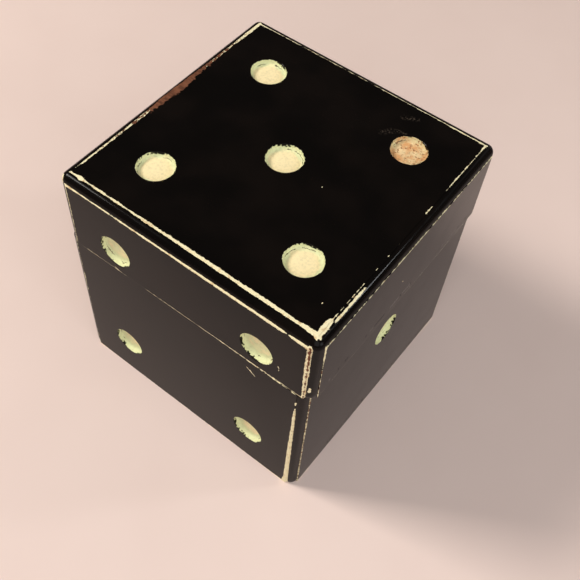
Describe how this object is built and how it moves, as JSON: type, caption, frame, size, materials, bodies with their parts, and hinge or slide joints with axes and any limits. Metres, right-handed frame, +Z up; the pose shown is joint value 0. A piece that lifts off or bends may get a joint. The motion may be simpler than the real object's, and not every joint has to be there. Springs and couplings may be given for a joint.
{
  "type": "hinged wooden box",
  "caption": "Cube-shaped wooden keepsake box painted as a playing die, with recessed round pips, a hinged lid and beaded, worn edges.",
  "frame": {"origin": "middle of the base's underside, on the surface it stands on", "axes": "+Z up, through the lid; -Y through the front face, away from the hinges; +X to the right"},
  "size_m": [0.1531, 0.1556, 0.15],
  "materials": {
    "painted_wood": "black gloss lacquer over a cream undercoat, worn through along the edges, with hand-painted cream pips",
    "hinge_brass": "aged brass",
    "pin_steel": "plain steel",
    "screw_brass": "aged brass"
  },
  "bodies": {
    "base": {"base_front_wall": "painted_wood", "base_right_wall": "painted_wood", "base_back_wall": "painted_wood", "base_left_wall": "painted_wood", "base_bottom_panel": "painted_wood", "left_hinge_base_leaf": "hinge_brass", "right_hinge_base_leaf": "hinge_brass", "left_hinge_pin": "pin_steel", "right_hinge_pin": "pin_steel", "base_hinge_screws": "screw_brass"},
    "lid": {"lid_front_wall": "painted_wood", "lid_right_wall": "painted_wood", "lid_back_wall": "painted_wood", "lid_left_wall": "painted_wood", "lid_top_panel": "painted_wood", "left_hinge_lid_leaf": "hinge_brass", "right_hinge_lid_leaf": "hinge_brass", "lid_hinge_screws": "screw_brass"}
  },
  "joints": [
    {"name": "lid_hinge", "type": "hinge", "parent": "base", "child": "lid", "pos_m": [0, 0.0772, 0.102], "axis": [-1, 0, 0], "range_deg": [0, 180]}
  ]
}
